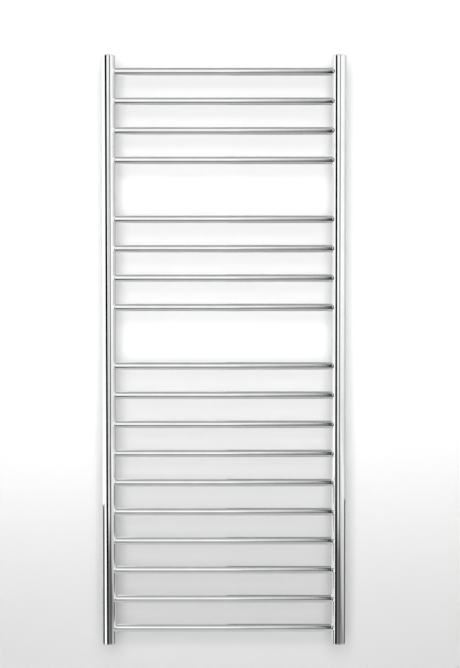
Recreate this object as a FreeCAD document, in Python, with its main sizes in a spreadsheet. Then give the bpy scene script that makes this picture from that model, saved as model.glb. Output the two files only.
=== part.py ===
"""Wall-mounted electric towel warmer: a welded ladder of round tube on telescopic stand-offs.

Millimetres. X runs along the rails, Z is up and the wall is the plane Y = 0, with the
rack in front of it, towards -Y. The origin is the centre of the four wall fixings.
"""

import FreeCAD, Part

import math
import os

import Sketcher

Vector = FreeCAD.Vector

# Rails in each group, from the top down. One place of the ladder stays empty between groups.
RAIL_GROUPS = (4, 4, 10)

# Every driving dimension: alias, value in mm, what it is.
SIZES = (
    ("overall_width", 500, "across the outsides of the two uprights"),
    ("rail_pitch", 60, "one place of the ladder to the next"),
    ("end_overhang", 32.5, "last rail's axis to the end of the upright"),
    ("upright_diameter", 28, "outside of the upright tube"),
    ("upright_wall", 1.5, "wall of the upright tube"),
    ("rail_diameter", 15, "outside of a rail tube"),
    ("rail_wall", 1, "wall of a rail tube"),
    ("rail_hole_clearance", 0.05, "rail in its hole, on the radius"),
    ("rail_end_margin", 0.5, "rail's end past the inside of the upright's wall"),
    ("weld_leg", 2.5, "leg of a weld bead, dressed flat"),
    ("tube_depth", 76, "wall to the plane of the tube axes"),
    ("cap_thickness", 3, "visible part of an end cap"),
    ("cap_edge_radius", 1.5, "rounded edge of an end cap"),
    ("cap_spigot_length", 5, "part of the cap inside the tube"),
    ("cap_spigot_wall", 2, "wall of that part"),
    ("cap_clearance", 0.05, "cap in the tube, on the radius"),
    ("bracket_height", 480, "stand-off above and below the middle"),
    ("standoff_diameter", 16, "outside of a stand-off"),
    ("standoff_gap", 16, "wall to the open end of a stand-off"),
    ("standoff_bore_depth", 36, "blind bore of a stand-off"),
    ("standoff_chamfer", 0.6, "edges of a stand-off's open end"),
    ("spigot_diameter", 11, "wall spigot"),
    ("spigot_length", 50, "wall spigot"),
    ("spigot_bore_diameter", 8.4, "way in for the wall screw's head"),
    ("spigot_base", 5, "bottom of the spigot, under the screw's head"),
    ("spigot_hole_diameter", 4.6, "wall screw's hole"),
    ("spigot_chamfer", 0.6, "front edge of the spigot"),
    ("spigot_clearance", 0.05, "spigot in the stand-off, on the radius"),
    ("grub_diameter", 4, "grub screw"),
    ("grub_length", 4, "grub screw"),
    ("grub_chamfer", 0.5, "both ends of the grub screw"),
    ("grub_socket", 2, "hexagon socket across its flats"),
    ("grub_socket_depth", 2.2, "hexagon socket"),
    ("grub_clearance", 0.05, "grub screw in its hole, on the radius"),
    ("grub_tip_gap", 0.1, "grub screw's tip to the spigot"),
    ("grub_setback", 6, "stand-off's open end to the grub screw's axis"),
    ("outlet_rise", 22, "lowest rail's axis up to the cable outlet"),
    ("outlet_diameter", 12, "cable outlet tube"),
    ("outlet_wall", 1, "wall of the cable outlet tube"),
    ("outlet_gap", 2.5, "wall to the end of the cable outlet tube"),
    ("grommet_flange", 1.5, "thickness of the grommet's flange"),
    ("grommet_length", 8, "part of the grommet inside the outlet"),
    ("grommet_bore_diameter", 7.2, "way through for the supply cable"),
    ("grommet_clearance", 0.05, "grommet in the outlet, on the radius"),
    ("cable_diameter", 3.5, "heating cable"),
    ("cable_gap", 0.15, "heating cable to the bottom of its rail"),
    ("cable_wall_gap", 1, "heating cable to the wall of an upright"),
    ("tail_entry", 10, "length of cable held in the block and in the seal"),
    ("tail_drop", 8, "straight cable between the last bend and the seal"),
    ("block_height", 16, "terminal block"),
    ("block_clearance", 0.3, "terminal block in the upright, on the radius"),
    ("block_top_gap", 2.5, "terminal block to the rail above it"),
    ("block_bore_clearance", 0.1, "cable and cut-out in the block, on the radius"),
    ("block_edge", 4, "terminal block's rim to a bore in it"),
    ("cutout_diameter", 6, "thermal cut-out"),
    ("cutout_length", 13, "thermal cut-out"),
    ("cutout_chamfer", 0.5, "front edge of the thermal cut-out"),
    ("seal_wall", 1.2, "wall of the cable's end seal"),
    ("seal_end", 3, "closed end of the seal"),
    ("earth_tab_width", 6.3, "blade of the earth tab"),
    ("earth_tab_thickness", 0.8, "blade of the earth tab"),
    ("earth_tab_height", 12, "blade of the earth tab"),
    ("earth_tab_foot", 6, "foot of the earth tab"),
)

# What follows from the driving dimensions, as expressions on the sheet.
UPRIGHT_R = "sizes.upright_diameter / 2"
UPRIGHT_BORE_R = "(sizes.upright_diameter / 2 - sizes.upright_wall)"
RAIL_R = "sizes.rail_diameter / 2"
RAIL_BORE_R = "(sizes.rail_diameter / 2 - sizes.rail_wall)"
RAIL_HOLE_R = "(sizes.rail_diameter / 2 + sizes.rail_hole_clearance)"
UPRIGHT_X = "(sizes.overall_width - sizes.upright_diameter) / 2"
LADDER_STEPS = sum(RAIL_GROUPS) + len(RAIL_GROUPS) - 2
HALF_LADDER = f"({LADDER_STEPS} * sizes.rail_pitch / 2)"
HALF_HEIGHT = f"({HALF_LADDER} + sizes.end_overhang)"
TUBE_LENGTH = f"(2 * ({HALF_HEIGHT} - sizes.cap_thickness))"
# A rail ends just inside the chord that its hole leaves in the upright's bore.
RAIL_MOUTH = f"(sqrt(({UPRIGHT_BORE_R})^2 - ({RAIL_R})^2) - sizes.rail_end_margin)"
RAIL_LENGTH = f"(2 * ({UPRIGHT_X} - {RAIL_MOUTH}))"
CABLE_R = "sizes.cable_diameter / 2"
CABLE_SAG = f"({RAIL_BORE_R} - {CABLE_R} - sizes.cable_gap)"
LINK_BEND = f"({RAIL_MOUTH} + {UPRIGHT_BORE_R} - {CABLE_R} - sizes.cable_wall_gap)"
OUTLET_Z = f"(sizes.outlet_rise - {HALF_LADDER})"
BLOCK_TOP_Z = f"(sizes.rail_pitch - {HALF_LADDER} - {RAIL_R} - sizes.block_top_gap)"
BLOCK_Z = f"({BLOCK_TOP_Z} - sizes.block_height)"
BLOCK_R = f"({UPRIGHT_BORE_R} - sizes.block_clearance)"
CABLE_BORE_R = f"({CABLE_R} + sizes.block_bore_clearance)"
CUTOUT_BORE_R = "(sizes.cutout_diameter / 2 + sizes.block_bore_clearance)"
# Across the upright: the cable's two tails stand outside its axis and the cut-out inside.
TAIL_X = f"-({BLOCK_R} - sizes.block_edge - {CABLE_BORE_R})"
CUTOUT_X = f"({BLOCK_R} - sizes.block_edge - {CUTOUT_BORE_R})"
TAIL_BEND = f"({RAIL_MOUTH} - {TAIL_X})"
SEAL_R = f"({CABLE_BORE_R} + sizes.seal_wall)"
SEAL_TOP_Z = f"({HALF_LADDER} - {CABLE_SAG} - {TAIL_BEND} - sizes.tail_drop)"
OUTLET_BORE_R = "(sizes.outlet_diameter / 2 - sizes.outlet_wall)"

# Turns of a sub-part's own +Z axis.
TO_WALL = FreeCAD.Rotation(Vector(1, 0, 0), -90)
FROM_WALL = FreeCAD.Rotation(Vector(1, 0, 0), 90)
HALF_TURN = FreeCAD.Rotation(Vector(0, 0, 1), 180)
DOWNWARDS = FreeCAD.Rotation(Vector(1, 0, 0), 180)

document = FreeCAD.newDocument("TowelWarmer")
sheet = document.addObject("Spreadsheet::Sheet", "sizes")


def fill_sheet():
    """Write the driving dimensions, one to a row, each with its alias."""
    for row, (alias, value, note) in enumerate(SIZES, start=1):
        sheet.set(f"A{row}", alias)
        sheet.set(f"B{row}", str(value))
        sheet.set(f"C{row}", note)
        sheet.setAlias(f"B{row}", alias)
    document.recompute()


def size(expression):
    """The value of an expression on the sheet, in mm."""
    value = sheet.evalExpression(expression)
    return float(getattr(value, "Value", value))


def rail_places():
    """Ladder places that hold a rail, counted from the top, which is 0."""
    places = []
    place = 0
    for count in RAIL_GROUPS:
        places.extend(range(place, place + count))
        place += count + 1
    return places


def new_body(label):
    """A PartDesign body whose label is its node's name."""
    body = document.addObject("PartDesign::Body", label)
    body.Label = label
    return body


def new_sketch(body, role, name):
    """A sketch on one of the body's own origin planes."""
    plane = next(item for item in body.Origin.OriginFeatures if item.Role == role)
    sketch = body.newObject("Sketcher::SketchObject", f"{body.Name}_{name}")
    sketch.AttachmentSupport = [(plane, "")]
    sketch.MapMode = "FlatFace"
    return sketch


def place_point(sketch, item, point, across, up):
    """Tie a point of a sketch to its two distances from the origin, given as expressions."""
    for kind, axis, expression in (("DistanceX", -2, across), ("DistanceY", -1, up)):
        value = size(expression)
        if expression == "0":
            sketch.addConstraint(Sketcher.Constraint("PointOnObject", item, point, axis))
            continue
        if value < 0:
            rule = Sketcher.Constraint(kind, item, point, -1, 1, -value)
            expression = f"-({expression})"
        else:
            rule = Sketcher.Constraint(kind, -1, 1, item, point, value)
        index = sketch.addConstraint(rule)
        sketch.setExpression(f"Constraints[{index}]", expression)


def add_circle(sketch, across, up, radius):
    """A circle with its centre and radius given as expressions."""
    centre = Vector(size(across), size(up), 0)
    circle = Part.Circle(centre, Vector(0, 0, 1), size(radius))
    item = sketch.addGeometry(circle, False)
    place_point(sketch, item, 3, across, up)
    index = sketch.addConstraint(Sketcher.Constraint("Radius", item, size(radius)))
    sketch.setExpression(f"Constraints[{index}]", radius)


def add_outline(sketch, corners):
    """A closed outline of straight lines through corners given as pairs of expressions."""
    points = [Vector(size(across), size(up), 0) for across, up in corners]
    items = []
    for first, second in zip(points, points[1:] + points[:1]):
        items.append(sketch.addGeometry(Part.LineSegment(first, second), False))
    for item, following in zip(items, items[1:] + items[:1]):
        sketch.addConstraint(Sketcher.Constraint("Coincident", item, 2, following, 1))
    for item, (across, up) in zip(items, corners):
        place_point(sketch, item, 1, across, up)


def add_pad(body, sketch, length, symmetric=False):
    """Pad a sketch by an expression, upwards from its plane or to both sides of it."""
    pad = body.newObject("PartDesign::Pad", f"{body.Name}_pad")
    pad.Profile = sketch
    pad.SideType = "Symmetric" if symmetric else "One side"
    pad.setExpression("Length", length)
    document.recompute()


def add_pocket(body, sketch, length, along_normal=False, symmetric=False):
    """Cut a sketch into the body and make sure that the cut took something away."""
    before = body.Shape.Volume
    pocket = body.newObject("PartDesign::Pocket", f"{body.Name}_pocket")
    pocket.Profile = sketch
    pocket.SideType = "Symmetric" if symmetric else "One side"
    pocket.Reversed = along_normal
    pocket.setExpression("Length", length)
    document.recompute()
    if body.Shape.Volume >= before:
        raise RuntimeError(f"{pocket.Name} cuts nothing")


def turned_body(label, corners):
    """A body turned about its own Z axis from an outline of (radius, height) expressions."""
    body = new_body(label)
    outline = new_sketch(body, "XZ_Plane", "outline")
    add_outline(outline, corners)
    turning = body.newObject("PartDesign::Revolution", f"{label}_turning")
    turning.Profile = outline
    turning.ReferenceAxis = (outline, ["V_Axis"])
    document.recompute()
    return body


def set_place(body, across, forward, up, rotation=None):
    """Turn a sub-part and tie its origin to three expressions."""
    if rotation is not None:
        body.Placement = FreeCAD.Placement(Vector(0, 0, 0), rotation)
    body.setExpression("Placement.Base.x", across)
    body.setExpression("Placement.Base.y", forward)
    body.setExpression("Placement.Base.z", up)


def make_upright(side, label):
    """One upright tube, with a hole for each rail and, on the left, the cable outlet's hole."""
    body = new_body(label)
    section = new_sketch(body, "XY_Plane", "section")
    add_circle(section, "0", "0", UPRIGHT_R)
    add_circle(section, "0", "0", UPRIGHT_BORE_R)
    add_pad(body, section, TUBE_LENGTH)
    holes = new_sketch(body, "YZ_Plane", "rail_holes")
    for place in rail_places():
        steps = LADDER_STEPS - place
        height = f"sizes.end_overhang - sizes.cap_thickness + {steps} * sizes.rail_pitch"
        add_circle(holes, "0", height, RAIL_HOLE_R)
    add_pocket(body, holes, "sizes.upright_diameter", along_normal=True)
    if side < 0:
        outlet = new_sketch(body, "XZ_Plane", "outlet_hole")
        height = "sizes.end_overhang - sizes.cap_thickness + sizes.outlet_rise"
        add_circle(outlet, "0", height, OUTLET_BORE_R)
        add_pocket(body, outlet, "sizes.upright_diameter")
    rotation = HALF_TURN if side > 0 else None
    bottom = f"sizes.cap_thickness - {HALF_HEIGHT}"
    set_place(body, f"{side} * {UPRIGHT_X}", "-sizes.tube_depth", bottom, rotation)


def make_rail(number, place):
    """One rail tube, whose two ends stand in the holes of the uprights."""
    body = new_body(f"rail_{number:02d}")
    section = new_sketch(body, "YZ_Plane", "section")
    add_circle(section, "0", "0", RAIL_R)
    add_circle(section, "0", "0", RAIL_BORE_R)
    add_pad(body, section, RAIL_LENGTH, symmetric=True)
    set_place(body, "0", "-sizes.tube_depth", f"{HALF_LADDER} - {place} * sizes.rail_pitch")


def make_end_cap(side, end, label):
    """A cap that closes one end of an upright, with a rounded edge and a short spigot."""
    spigot_r = f"({UPRIGHT_BORE_R} - sizes.cap_clearance)"
    inside_r = f"({spigot_r} - sizes.cap_spigot_wall)"
    top = "sizes.cap_spigot_length + sizes.cap_thickness"
    body = turned_body(
        label,
        [
            ("0", "sizes.cap_spigot_length"),
            (inside_r, "sizes.cap_spigot_length"),
            (inside_r, "0"),
            (spigot_r, "0"),
            (spigot_r, "sizes.cap_spigot_length"),
            (UPRIGHT_R, "sizes.cap_spigot_length"),
            (UPRIGHT_R, top),
            ("0", top),
        ],
    )
    turning = body.Tip
    edge = body.newObject("PartDesign::Fillet", f"{label}_edge")
    edge.Base = (turning, [rim_edge(turning.Shape, size(UPRIGHT_R), size(top))])
    edge.setExpression("Radius", "sizes.cap_edge_radius")
    rotation = DOWNWARDS if end < 0 else None
    height = f"{end} * ({HALF_HEIGHT} - ({top}))"
    set_place(body, f"{side} * {UPRIGHT_X}", "-sizes.tube_depth", height, rotation)


def rim_edge(shape, radius, height):
    """The name of the round edge of that radius at that height."""
    for index, edge in enumerate(shape.Edges, start=1):
        curve = edge.Curve
        if isinstance(curve, Part.Circle) and math.isclose(curve.Radius, radius, abs_tol=1e-4):
            if math.isclose(curve.Center.z, height, abs_tol=1e-4):
                return f"Edge{index}"
    raise RuntimeError("no rim to round")


def cope_to_upright(body, name, diameter):
    """Cut the upright's outside out of a leg that stands on it."""
    saddle = new_sketch(body, "XZ_Plane", name)
    add_circle(saddle, "0", "0", UPRIGHT_R)
    add_pocket(body, saddle, f"2 * {diameter}", symmetric=True)


def make_standoff(side, end, label):
    """A round leg on the back of an upright, bored for its wall spigot and for a grub screw."""
    outer_r = "sizes.standoff_diameter / 2"
    bore_r = "(sizes.spigot_diameter / 2 + sizes.spigot_clearance)"
    mouth = "(sizes.tube_depth - sizes.standoff_gap)"
    body = turned_body(
        label,
        [
            ("0", UPRIGHT_BORE_R),
            (outer_r, UPRIGHT_BORE_R),
            (outer_r, f"{mouth} - sizes.standoff_chamfer"),
            (f"{outer_r} - sizes.standoff_chamfer", mouth),
            (f"{bore_r} + sizes.standoff_chamfer", mouth),
            (bore_r, f"{mouth} - sizes.standoff_chamfer"),
            (bore_r, f"{mouth} - sizes.standoff_bore_depth"),
            ("0", f"{mouth} - sizes.standoff_bore_depth"),
        ],
    )
    cope_to_upright(body, "saddle", "sizes.standoff_diameter")
    hole = new_sketch(body, "XZ_Plane", "grub_hole")
    hole_r = "(sizes.grub_diameter / 2 + sizes.grub_clearance)"
    add_circle(hole, "0", f"{mouth} - sizes.grub_setback", hole_r)
    add_pocket(body, hole, "sizes.standoff_diameter")
    height = f"{end} * sizes.bracket_height"
    set_place(body, f"{side} * {UPRIGHT_X}", "-sizes.tube_depth", height, TO_WALL)


def make_wall_spigot(side, end, label):
    """The wall's half of a stand-off: a deep cup with a countersunk screw hole in its bottom."""
    outer_r = "sizes.spigot_diameter / 2"
    bore_r = "sizes.spigot_bore_diameter / 2"
    hole_r = "sizes.spigot_hole_diameter / 2"
    body = turned_body(
        label,
        [
            (hole_r, "0"),
            (outer_r, "0"),
            (outer_r, "sizes.spigot_length - sizes.spigot_chamfer"),
            (f"{outer_r} - sizes.spigot_chamfer", "sizes.spigot_length"),
            (bore_r, "sizes.spigot_length"),
            (bore_r, "sizes.spigot_base"),
            (hole_r, f"sizes.spigot_base - ({bore_r} - {hole_r})"),
        ],
    )
    height = f"{end} * sizes.bracket_height"
    set_place(body, f"{side} * {UPRIGHT_X}", "0", height, FROM_WALL)


def make_grub_screw(side, end, label):
    """A grub screw that stands under a stand-off, its socket downwards."""
    outer_r = "sizes.grub_diameter / 2"
    inner_r = f"{outer_r} - sizes.grub_chamfer"
    body = turned_body(
        label,
        [
            ("0", "0"),
            (inner_r, "0"),
            (outer_r, "sizes.grub_chamfer"),
            (outer_r, "sizes.grub_length - sizes.grub_chamfer"),
            (inner_r, "sizes.grub_length"),
            ("0", "sizes.grub_length"),
        ],
    )
    socket = new_sketch(body, "XY_Plane", "socket")
    corner_r = "sizes.grub_socket / sqrt(3)"
    corners = []
    for turn in range(6):
        across = f"{corner_r} * cos({60 * turn + 30} deg)"
        up = f"{corner_r} * sin({60 * turn + 30} deg)"
        corners.append(("0" if turn % 3 == 1 else across, up))
    add_outline(socket, corners)
    add_pocket(body, socket, "sizes.grub_socket_depth", along_normal=True)
    forward = "-(sizes.standoff_gap + sizes.grub_setback)"
    reach = "sizes.spigot_diameter / 2 + sizes.grub_tip_gap + sizes.grub_length"
    height = f"{end} * sizes.bracket_height - ({reach})"
    set_place(body, f"{side} * {UPRIGHT_X}", forward, height)


def make_cable_outlet():
    """The hollow leg, low on the left upright, that the supply cable leaves through."""
    outer_r = "sizes.outlet_diameter / 2"
    mouth = "(sizes.tube_depth - sizes.outlet_gap)"
    body = turned_body(
        "cable_outlet",
        [
            (OUTLET_BORE_R, "0"),
            (outer_r, "0"),
            (outer_r, mouth),
            (OUTLET_BORE_R, mouth),
        ],
    )
    cope_to_upright(body, "saddle", "sizes.outlet_diameter")
    set_place(body, f"-{UPRIGHT_X}", "-sizes.tube_depth", OUTLET_Z, TO_WALL)


def make_cable_grommet():
    """A flanged rubber bush in the open end of the cable outlet."""
    bore_r = "sizes.grommet_bore_diameter / 2"
    body_r = f"({OUTLET_BORE_R} - sizes.grommet_clearance)"
    whole = "sizes.grommet_length + sizes.grommet_flange"
    body = turned_body(
        "cable_grommet",
        [
            (bore_r, "0"),
            (body_r, "0"),
            (body_r, "sizes.grommet_length"),
            ("sizes.outlet_diameter / 2", "sizes.grommet_length"),
            ("sizes.outlet_diameter / 2", whole),
            (bore_r, whole),
        ],
    )
    forward = "-sizes.outlet_gap - sizes.grommet_length"
    set_place(body, f"-{UPRIGHT_X}", forward, OUTLET_Z, TO_WALL)


def make_terminal_block():
    """A ceramic block across the left upright that holds the cable's end and the cut-out."""
    body = new_body("terminal_block")
    section = new_sketch(body, "XY_Plane", "section")
    add_circle(section, "0", "0", BLOCK_R)
    add_pad(body, section, "sizes.block_height")
    bores = new_sketch(body, "XY_Plane", "bores")
    add_circle(bores, TAIL_X, "0", CABLE_BORE_R)
    add_circle(bores, CUTOUT_X, "0", CUTOUT_BORE_R)
    add_pocket(body, bores, "sizes.tail_entry", along_normal=True)
    set_place(body, f"-{UPRIGHT_X}", "-sizes.tube_depth", BLOCK_Z)


def make_thermal_cutout():
    """The cut-out cartridge, pushed up into the terminal block."""
    outer_r = "sizes.cutout_diameter / 2"
    body = turned_body(
        "thermal_cutout",
        [
            ("0", "0"),
            (f"{outer_r} - sizes.cutout_chamfer", "0"),
            (outer_r, "sizes.cutout_chamfer"),
            (outer_r, "sizes.cutout_length"),
            ("0", "sizes.cutout_length"),
        ],
    )
    across = f"{CUTOUT_X} - {UPRIGHT_X}"
    height = f"{BLOCK_Z} + sizes.tail_entry - sizes.cutout_length"
    set_place(body, across, "-sizes.tube_depth", height)


def make_cable_end_seal():
    """The closed sleeve on the far end of the heating cable, behind the top rail's end."""
    depth = "(sizes.seal_end + sizes.tail_entry)"
    body = turned_body(
        "cable_end_seal",
        [
            ("0", "0"),
            (SEAL_R, "0"),
            (SEAL_R, depth),
            (CABLE_BORE_R, depth),
            (CABLE_BORE_R, "sizes.seal_end"),
            ("0", "sizes.seal_end"),
        ],
    )
    across = f"{TAIL_X} - {UPRIGHT_X}"
    set_place(body, across, "-sizes.tube_depth", f"{SEAL_TOP_Z} - {depth}")


def make_earth_tab():
    """A blade for the earth wire, its foot spot-welded inside the left upright's bottom cap."""
    body = new_body("earth_tab")
    outline = new_sketch(body, "XZ_Plane", "outline")
    add_outline(
        outline,
        [
            ("0", "0"),
            ("sizes.earth_tab_foot", "0"),
            ("sizes.earth_tab_foot", "sizes.earth_tab_thickness"),
            ("sizes.earth_tab_thickness", "sizes.earth_tab_thickness"),
            ("sizes.earth_tab_thickness", "sizes.earth_tab_height"),
            ("0", "sizes.earth_tab_height"),
        ],
    )
    add_pad(body, outline, "sizes.earth_tab_width", symmetric=True)
    across = f"-{UPRIGHT_X} - sizes.earth_tab_foot / 2"
    set_place(body, across, "-sizes.tube_depth", f"sizes.cap_thickness - {HALF_HEIGHT}")


def cable_route():
    """The heating cable's centre line: every rail in turn from the lowest, up to its sealed end."""
    depth = -size("sizes.tube_depth")
    upright_x = size(UPRIGHT_X)
    mouth = size(RAIL_MOUTH)
    pitch = size("sizes.rail_pitch")
    link = size(LINK_BEND)
    tail = size(TAIL_BEND)
    tail_x = size(TAIL_X) - upright_x
    top = size(HALF_LADDER) - size(CABLE_SAG)
    edges = []

    def point(across, up):
        return Vector(across, depth, up)

    def run(first, second):
        edges.append(Part.LineSegment(first, second).toShape())

    def bend(centre_x, centre_z, radius, start, finish):
        """An arc about a centre, between two angles in degrees from +X towards +Z."""
        arc = []
        for angle in (start, (start + finish) / 2, finish):
            turn = math.radians(angle)
            arc.append(point(centre_x + radius * math.cos(turn), centre_z + radius * math.sin(turn)))
        edges.append(Part.Arc(*arc).toShape())

    heights = [top - place * pitch for place in reversed(rail_places())]
    start = size(BLOCK_Z) + size("sizes.tail_entry")
    run(point(tail_x, start), point(tail_x, heights[0] + tail))
    bend(mouth - upright_x, heights[0] + tail, tail, 180, 270)
    side = 1
    for level, height in enumerate(heights):
        mouth_x = side * (upright_x - mouth)
        run(point(-mouth_x, height), point(mouth_x, height))
        if level + 1 == len(heights):
            break
        following = heights[level + 1]
        down, outward = (-90, 0) if side > 0 else (270, 180)
        bend(mouth_x, height + link, link, down, outward)
        far_x = mouth_x + side * link
        run(point(far_x, height + link), point(far_x, following - link))
        bend(mouth_x, following - link, link, outward, 90)
        side = -side
    bend(mouth - upright_x, heights[-1] - tail, tail, 90, 180)
    last = heights[-1] - tail
    run(point(tail_x, last), point(tail_x, last - size("sizes.tail_drop") - size("sizes.tail_entry")))
    return edges


def make_heating_cable():
    """One unbroken heating cable, swept along its route and compared with section times length."""
    edges = cable_route()
    route = Part.Wire(edges)
    radius = size(CABLE_R)
    start = edges[0].valueAt(edges[0].FirstParameter)
    section = Part.Wire([Part.Circle(start, Vector(0, 0, 1), radius).toShape()])
    cable = document.addObject("Part::Feature", "heating_cable")
    cable.Label = "heating_cable"
    cable.Shape = route.makePipeShell([section], True, False)
    expected = math.pi * radius**2 * route.Length
    if not math.isclose(cable.Shape.Volume, expected, rel_tol=1e-3):
        raise RuntimeError("the heating cable's volume isn't its section times its length")
    bends = f"{size(LINK_BEND):.1f} mm and {size(TAIL_BEND):.1f} mm at its ends"
    print(f"heating cable: {route.Length:.0f} mm long, bends {bends}")


def weld_bead(radius):
    """The weld bead round a tube that stands on an upright, along +X from its axis."""
    upright_r = size(UPRIGHT_R)
    leg = size("sizes.weld_leg")
    margin = 6 * leg
    reach = upright_r + margin
    half = radius + margin
    upright = Part.makeCylinder(upright_r, 2 * half, Vector(0, 0, -half))
    tube = Part.makeCylinder(radius, reach, Vector(0, 0, 0), Vector(1, 0, 0))
    joined = upright.fuse(tube).removeSplitter()
    seam = [edge for edge in joined.Edges if is_saddle(edge, upright_r, radius)]
    return joined.makeChamfer(leg, seam).cut(joined).Solids


def is_saddle(edge, upright_r, radius):
    """Whether an edge lies on both the upright's outside and the tube's."""
    for share in (0.1, 0.5, 0.9):
        span = edge.LastParameter - edge.FirstParameter
        spot = edge.valueAt(edge.FirstParameter + share * span)
        if not math.isclose(math.hypot(spot.x, spot.y), upright_r, abs_tol=1e-3):
            return False
        if not math.isclose(math.hypot(spot.y, spot.z), radius, abs_tol=1e-3):
            return False
    return True


def make_weld_beads(side, label):
    """All the weld beads of one upright: its rails', its stand-offs' and the cable outlet's."""
    upright_x = side * size(UPRIGHT_X)
    depth = -size("sizes.tube_depth")
    top = size(HALF_LADDER)
    pitch = size("sizes.rail_pitch")
    inward = 180 if side > 0 else 0
    rail_bead = weld_bead(size(RAIL_R))
    spots = [(rail_bead, inward, top - place * pitch) for place in rail_places()]
    leg_bead = weld_bead(size("sizes.standoff_diameter") / 2)
    for end in (1, -1):
        spots.append((leg_bead, 90, end * size("sizes.bracket_height")))
    if side < 0:
        spots.append((weld_bead(size("sizes.outlet_diameter") / 2), 90, size(OUTLET_Z)))
    solids = []
    for bead, turn, height in spots:
        rotation = FreeCAD.Rotation(Vector(0, 0, 1), turn)
        move = FreeCAD.Placement(Vector(upright_x, depth, height), rotation)
        for solid in bead:
            solids.append(solid.transformed(move.Matrix))
    welds = document.addObject("Part::Feature", label)
    welds.Label = label
    welds.Shape = Part.makeCompound(solids)


def build():
    """Make every sub-part."""
    fill_sheet()
    for number, place in enumerate(rail_places(), start=1):
        make_rail(number, place)
    for side, side_name in ((-1, "left"), (1, "right")):
        make_upright(side, f"upright_{side_name}")
        make_weld_beads(side, f"weld_beads_{side_name}")
        for end, end_name in ((1, "top"), (-1, "bottom")):
            place_name = f"{end_name}_{side_name}"
            make_end_cap(side, end, f"end_cap_{place_name}")
            make_standoff(side, end, f"standoff_{place_name}")
            make_wall_spigot(side, end, f"wall_spigot_{place_name}")
            make_grub_screw(side, end, f"grub_screw_{place_name}")
    make_cable_outlet()
    make_cable_grommet()
    make_terminal_block()
    make_thermal_cutout()
    make_cable_end_seal()
    make_earth_tab()
    make_heating_cable()
    document.recompute()


def sub_parts():
    """The objects of the document that are whole sub-parts."""
    bodies = [item for item in document.Objects if item.TypeId == "PartDesign::Body"]
    features = [item for item in document.Objects if item.TypeId == "Part::Feature"]
    return bodies + features


def check_document():
    """Stop if a feature failed or a sub-part isn't a sound shape."""
    for item in document.Objects:
        if "Invalid" in item.State or "Error" in item.State:
            raise RuntimeError(f"{item.Name} failed: {item.State}")
    for item in sub_parts():
        shape = item.Shape
        if shape.isNull() or not shape.isValid() or not shape.Solids:
            raise RuntimeError(f"{item.Label} isn't a valid solid")


def write_parts():
    """Write each sub-part to the file that bears its name."""
    os.makedirs("parts", exist_ok=True)
    for item in sub_parts():
        item.Shape.exportStep(f"parts/{item.Label}.step")
    print(f"{len(sub_parts())} sub-parts written")


build()
check_document()
write_parts()
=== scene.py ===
"""Towel warmer rack: a welded ladder of polished round tube on telescopic stand-offs.

Metres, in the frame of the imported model: X runs along the rails, Z is up, the wall is the
plane Y = 0 and the rack stands in front of it, towards -Y.
"""

import logging
import math
from dataclasses import dataclass, field
from enum import Enum

import bmesh
import bpy
from mathutils import Matrix, Vector


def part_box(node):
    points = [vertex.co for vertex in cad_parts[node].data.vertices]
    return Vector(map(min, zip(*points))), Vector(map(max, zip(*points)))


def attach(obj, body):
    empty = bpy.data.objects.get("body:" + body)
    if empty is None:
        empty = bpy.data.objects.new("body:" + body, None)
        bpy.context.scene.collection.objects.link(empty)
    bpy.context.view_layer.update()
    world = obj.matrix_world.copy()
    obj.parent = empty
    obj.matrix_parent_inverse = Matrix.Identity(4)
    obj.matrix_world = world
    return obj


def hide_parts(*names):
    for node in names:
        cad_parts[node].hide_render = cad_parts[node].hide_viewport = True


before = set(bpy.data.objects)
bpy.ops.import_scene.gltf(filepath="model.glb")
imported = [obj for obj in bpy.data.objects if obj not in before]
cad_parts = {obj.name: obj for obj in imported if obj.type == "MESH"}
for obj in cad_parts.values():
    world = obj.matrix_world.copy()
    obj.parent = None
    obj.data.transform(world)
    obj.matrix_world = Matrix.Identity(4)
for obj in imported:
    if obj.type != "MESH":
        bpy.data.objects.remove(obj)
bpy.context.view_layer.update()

LOG = logging.getLogger("towel_warmer")
MM = 0.001
RING = 96
FINE_RING = 48
NEAR = 1e-6
MERGE_DISTANCE = 1e-7
PATTERN_MIDDLE = (0.3, 0.7)
RACK = "rack"
WALL_MOUNTS = "wall_mounts"
SHARP_ANGLE = math.radians(35)

Range = tuple[float, float]
Outline = list[Range]
Rounds = dict[int, tuple[float, int]]
Triple = tuple[float, float, float]
Stops = tuple[Range, ...]
Span = tuple[Range, Range]
Socket = bpy.types.NodeSocket
Input = float | tuple[float, ...] | Socket


class Side(Enum):
    """Which upright, seen from the front: the sign is that of X."""

    LEFT = -1
    RIGHT = 1

    @property
    def label(self) -> str:
        """The side's word in the names of nodes."""
        return self.name.lower()


class End(Enum):
    """Which end of an upright: the sign is that of Z."""

    TOP = 1
    BOTTOM = -1

    @property
    def label(self) -> str:
        """The end's word in the names of nodes."""
        return self.name.lower()


class Grain(Enum):
    """The way polishing or turning lines run, as how densely a pattern repeats in X, Y and Z."""

    ALONG_RAILS = (9.0, 1500.0, 1500.0)
    ALONG_UPRIGHTS = (1500.0, 1500.0, 6.0)
    ROUND_UPRIGHTS = (12.0, 12.0, 2600.0)
    ROUND_LEGS = (10.0, 3200.0, 10.0)
    CLOUDY = (160.0, 160.0, 160.0)


# --------------------------------------------------------------------------- finishes


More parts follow.
